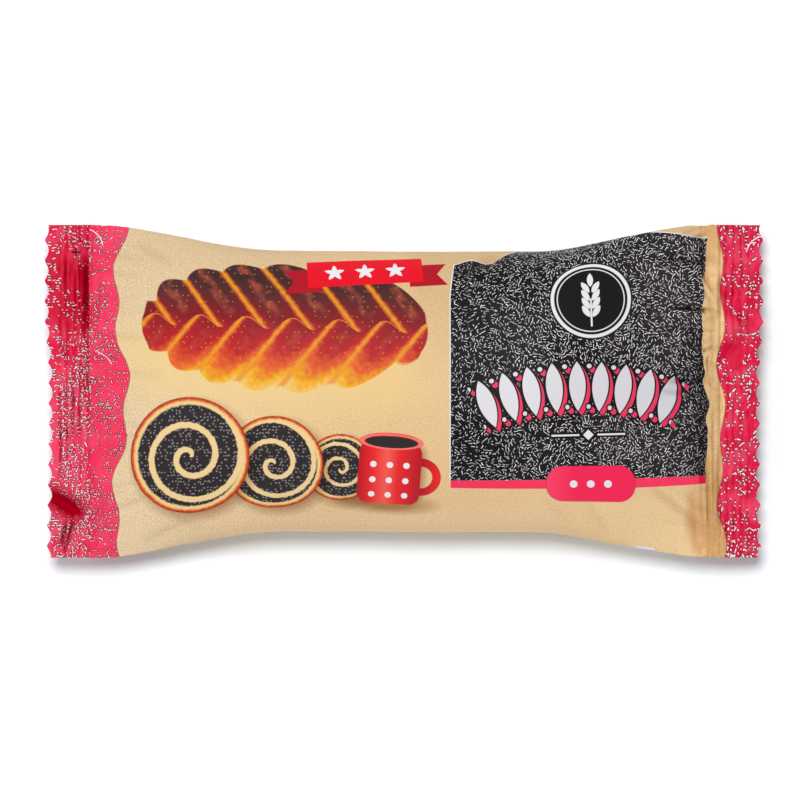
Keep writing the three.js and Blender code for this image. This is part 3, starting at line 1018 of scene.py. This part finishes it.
def end_bands(colour, place):
    """The crimson ends, wavy along the inside and strewn with white seeds, with a painted sheen on the
    left shoulder, painted shade on the left fin's upper ribs and lip and between all ribs, and painted
    light on the left fin's lower ribs.
    """
    u, v = place
    left = u - wavy_line(v, -69.1, (51.0, 1.6, 1.76), (17.5, 0.95, -0.08))
    right = wavy_line(v, 77.7, (30.0, 0.57, -2.97), (17.5, 0.75, 2.42)) - u
    band = least(left, right)
    crimson = paint(CRIMSON, DEEP_CRIMSON, fade(mottle(place, 13, 1), 0.4, 0.7) * 0.35)
    crimson = paint(crimson, DEEP_CRIMSON, fade(mottle(place, 4.5, 2, 110), 0.48, 0.68) * 0.6)
    crimson = paint(crimson, ROSE, fade(mottle(place, 6, 2, 55), 0.46, 0.68) * 0.65)
    # Painted sheen: paler crimson on the left shoulder, where light would glance off the film
    crimson = paint(crimson, SHOULDER_SHEEN_CRIMSON, fade(u, -78, -74) * fade(u, -60, -66) * 0.75)
    # Painted shade over the upper ribs of the left fin, with a little of the folds' deeper shade
    shaded = fade(u, -77.1, -77.6) * fade(u, -90, -84) * 0.85
    shaded = shaded * fade(v, 12, 17) * fade(v, 36, 31)
    crimson = paint(crimson, DEEP_CRIMSON, shaded)
    crimson = paint(crimson, CRIMSON_FOLD_SHADE, shaded * 0.12)
    # Painted shade on the lip beside those ribs
    shaded_lip = fade(u, -83.5, -84.5) * fade(v, 22, 26) * fade(v, 35.5, 33.5)
    crimson = paint(crimson, DEEP_CRIMSON, shaded_lip * 0.7)
    # Painted shade in dark streaks between the ribs of both fins
    streaks = fade(mottle((u, v * 0.14), 0.55, 2, 130), 0.5, 0.66)
    streaks = streaks * fade(abs(u), 76.9, 77.6) * fade(abs(u), 85.4, 84.0)
    crimson = paint(crimson, DEEP_CRIMSON, streaks * 0.45)
    # Painted light: paler rose on the lower ribs of the left fin, less where the shade streaks lie
    lit_lower_ribs = fade(u, -76.9, -77.8) * fade(v, 10, -4)
    crimson = paint(crimson, ROSE, lit_lower_ribs * (0.62 - streaks * 0.6))
    seeds = least(left_seeds(place, shaded), right_seeds(place))
    bright = fade(mottle(place, 0.9, 1, 17), 0.32, 0.52) * 0.5 + 0.5
    crimson = paint(crimson, SEED_RIM, inside(seeds - 0.2, 0.12) * bright)
    crimson = paint(crimson, PINK_WHITE, inside(seeds, 0.1) * bright)
    colour = paint(colour, BAND_LINE, inside(band - 0.2) * 0.85)
    return paint(colour, crimson, inside(band))


# The centre, radius, turn in degrees and half width of each hair's arc
HAIRS = (((-78.3, 35.2), 4.6, 40, 0.09), ((88.6, 33.2), 4.9, 140, 0.13), ((-78.3, 2.0), 8.4, 50, 0.08))


def hairs(colour, place):
    """A few long curved white hairs among the seeds of the ends."""
    strokes = []
    for centre, radius, turn, half_width in HAIRS:
        near = moved(place, centre, turn)
        strokes.append(most(abs(length(*near) - radius) - half_width, abs(near[1]) - 2.4, -near[0]))
    return paint(colour, PINK_WHITE, inside(least(*strokes), 0.12))


CROSS_CENTRE = (-80.2, 34.0)


def cross_mark(colour, place):
    """The small black cross that lines the printing plates up."""
    near = moved(place, CROSS_CENTRE)
    a, b = abs(near[0]), abs(near[1])
    arms = most(most(a, b) - 1.1, least(a, b) - 0.2)
    return paint(colour, BLACK, inside(arms))


BACK_BOX_CENTRE = (58.9, -49.8)


def back_box(colour, place):
    """A bare white field on the back, whose corner shows past the pack's side."""
    near = moved(place, BACK_BOX_CENTRE)
    return paint(colour, WHITE, inside(rounded_box(near, 2.4, 10.0, 0.4)))


# The centre and radius of each slice and its turn in degrees, from the farthest to the nearest
SLICES = (((-15.5, -19.0), 8.6, 200), ((-31.5, -18.0), 12.0, 40), ((-52.0, -16.0), 14.6, 0))
TOP_DESIGNS = (mug, ribbon, dark_panel, pill, ornament, arched_row, flourish, back_box, end_bands, hairs,
               cross_mark)


def printed_colour(place, shade):
    """The whole print, with a painted highlight on the ribs and painted shade in the folds."""
    u, v = place
    colour = plait(ground(place), place)
    for centre, radius, turn in SLICES:
        colour = slice_of_roll(colour, place, centre, radius, turn)
    for design in TOP_DESIGNS:
        colour = design(colour, place)
    # Painted shade in the creases across the panel's right part
    on_panel = fade(u, 50, 56) * fade(u, 74.0, 73.5) * fade(v, -20.9, -20.5)
    colour = paint(colour, PANEL_FOLD_SHADE, fade(shade, 0.03, 0.36) * on_panel, "MULTIPLY")
    # Painted highlight on the ribs' crests, weaker where the fin faces away from the light
    on_fin = fade(abs(u), 76.6, 77.6)
    gleam = fade(shade, 0, -1) * fade(mottle(place, 2.2, 1, 70), 0.35, 0.6) * on_fin
    open_to_light = most(fade(v, 18, 8), fade(u, -1, 1))
    colour = paint(colour, RIB_GLEAM, gleam * (open_to_light * 0.5 + 0.3))
    # Painted shade in the folds: deep crimson on the fins, a brown tint laid over the rest
    colour = paint(colour, CRIMSON_FOLD_SHADE, fade(shade, 0, 0.9) * on_fin)
    return paint(colour, FOLD_SHADE_TINT, fade(shade, 0, 1) * (1 - on_fin), "MULTIPLY")


def crinkles(place):
    """The film's fine crinkles, in millimetres: streaks along the fins, and a fan over each lip."""
    u, v = place
    from_middle = abs(u)
    near_fin = fade(from_middle, 66, 76)
    lip = fade(from_middle, RIB_END - 0.4, RIB_END + 0.6)
    streaks = mottle((u, v * 0.16), 0.8, 2) * (near_fin - lip) * 0.14
    fan = mottle((u * 0.2, v), 0.9, 2) * lip * 0.16
    soft = mottle(place, 3.2, 3) * (near_fin * 0.1 + 0.06)
    return streaks + fan + soft


ROUGHNESS = 0.58
SHINE = 0.14  # of the film's surface, outside its folds


def make_film_material():
    """Printed film with a satin finish and fine crinkles, and light and shade painted into its colour.
    """
    output = nodes.new("ShaderNodeOutputMaterial")
    shader = nodes.new("ShaderNodeBsdfPrincipled")
    film_map = nodes.new("ShaderNodeUVMap")
    film_map.uv_map = "film"
    u, v, _ = split(Field(film_map.outputs["UV"]))
    place = (u, v)
    shades = nodes.new("ShaderNodeAttribute")
    shades.attribute_name = "shade"
    shade = Field(shades.outputs["Fac"])
    connect(printed_colour(place, shade), shader.inputs["Base Color"])
    shader.inputs["Roughness"].default_value = ROUGHNESS
    connect(fade(shade, 0.8, 0) * SHINE, shader.inputs["Specular IOR Level"])
    bump = nodes.new("ShaderNodeBump")
    bump.inputs["Distance"].default_value = MM
    connect(crinkles(place), bump.inputs["Height"])
    links.new(bump.outputs["Normal"], shader.inputs["Normal"])
    links.new(shader.outputs["BSDF"], output.inputs["Surface"])


# The back seam

FLAP_RINGS = 300
FLAP_STEPS = 21  # of points across each face of the flap
FLAP_WIDTH = SEAM_WIDTH - 0.6
FLAP_THICKNESS = 0.2
FLAP_INSET = 0.02  # from the ends of the film
FLAP_BEHIND_TEETH = 0.15


def make_back_seam(material):
    """The flap that closes the tube along the back, folded over to one side under the bun."""
    x = np.linspace(-HALF_LENGTH + FLAP_INSET, HALF_LENGTH - FLAP_INSET, FLAP_RINGS)[:, None]
    across = np.linspace(0, 1, FLAP_STEPS)
    loop = np.concatenate([across, across[::-1]])[None, :]
    upper = np.repeat([1, 0], FLAP_STEPS)[None, :]
    width = FLAP_WIDTH + 0.25 * np.sin(x / 9) + 0.2 * np.sin(x / 3.7 + 1)
    y = loop * width
    u = x - np.sign(x) * cut_back(x, y, FLAP_BEHIND_TEETH)
    back_line = sections(x[:, 0])[1][:, -1:]
    under = np.maximum(back_line + fin_height(u, y) - LAYER_GAP, SEAM_THICKNESS)
    wave = 0.11 + 0.11 * np.sin(x / 2.6 + 2 * np.sin(x / 17))
    z = under - 0.34 + wave * loop**2 * (under < 1) + FLAP_THICKNESS * upper
    z = np.minimum(z, under - 0.06 - 0.1 * (1 - upper))
    points = np.stack([u, y, z], axis=2)
    rings, columns = y.shape
    ids = np.arange(rings * columns).reshape(rings, columns)
    after = np.roll(ids, -1, axis=1)
    faces = np.stack([ids[:-1], after[:-1], after[1:], ids[1:]], axis=2).reshape(-1, 4)
    for ring, way in ((0, 1), (-1, -1)):
        above, below = ids[ring, :FLAP_STEPS], ids[ring, : FLAP_STEPS - 1 : -1]
        closed = np.stack([above[:-1], below[:-1], below[1:], above[1:]], axis=1)
        faces = np.concatenate([faces, closed[:, ::way]])
    places = np.stack([u, 1 - FLAT_WIDTH + y], axis=2).reshape(-1, 2)
    return make_object("back_seam", points.reshape(-1, 3), faces, places[faces.ravel()], material)


# The stage, in metres

FLOOR_SIZE = 6
FLOOR_LEVEL = -0.0001
FLOOR_COLOUR = (0.895, 0.93, 0.965, 1)
WORLD_STRENGTH = 0.3

# The name of each light, its direction and distance from the pack, its size, and its strength in
# shares of white on level ground
LIGHTS = (
    ("key", (-0.1, 0.36, 1), 1.25, 0.56, 0.8),
    ("side", (-1, 0.1, 0.7), 1.2, 0.4, 0.09),
    ("fill", (0.1, -1, 0.42), 1.2, 0.6, 0.1),
)

FRAME_WIDTH = 195.6 * MM  # that the photo takes in at the fins' height
FRAME_CENTRE = (-1.0 * MM, -2.13 * MM)
CAMERA_DISTANCE = 1.5


def make_floor():
    bpy.ops.mesh.primitive_plane_add(size=FLOOR_SIZE, location=(0, 0, FLOOR_LEVEL))
    floor = bpy.context.object
    floor.name = "floor"
    pale = bpy.data.materials.new("floor")
    pale.use_nodes = True
    shader = pale.node_tree.nodes["Principled BSDF"]
    shader.inputs["Base Color"].default_value = FLOOR_COLOUR
    shader.inputs["Roughness"].default_value = 0.9
    shader.inputs["Specular IOR Level"].default_value = 0.1
    floor.data.materials.append(pale)


def add_light(name, direction, distance, size, strength):
    """A round soft light aimed at the pack."""
    light = bpy.data.lights.new(name, "AREA")
    light.shape = "DISK"
    light.size = size
    way = np.array(direction) / np.linalg.norm(direction)
    light.energy = strength * (math.pi * distance) ** 2 / way[2]
    lamp = bpy.data.objects.new(name, light)
    lamp.location = way * distance
    lamp.rotation_euler = (-lamp.location).to_track_quat("-Z", "Y").to_euler()
    bpy.context.scene.collection.objects.link(lamp)


def make_lights():
    for light in LIGHTS:
        add_light(*light)
    world = bpy.data.worlds.new("studio")
    world.use_nodes = True
    background = world.node_tree.nodes["Background"]
    background.inputs["Color"].default_value = (1, 1, 1, 1)
    background.inputs["Strength"].default_value = WORLD_STRENGTH
    bpy.context.scene.world = world


def make_camera():
    data = bpy.data.cameras.new("camera")
    data.lens = data.sensor_width * CAMERA_DISTANCE / FRAME_WIDTH
    camera = bpy.data.objects.new("camera", data)
    camera.location = (*FRAME_CENTRE, CAMERA_DISTANCE + SIDE_LEVEL * MM)
    bpy.context.scene.collection.objects.link(camera)
    bpy.context.scene.camera = camera


make_film_material()
film_piece = make_film(printed_film)
seam_piece = make_back_seam(printed_film)
for piece in (film_piece, seam_piece):
    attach(piece, "root")
    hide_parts("pack")
make_floor()
make_lights()
make_camera()
bpy.context.scene.view_settings.view_transform = "Standard"
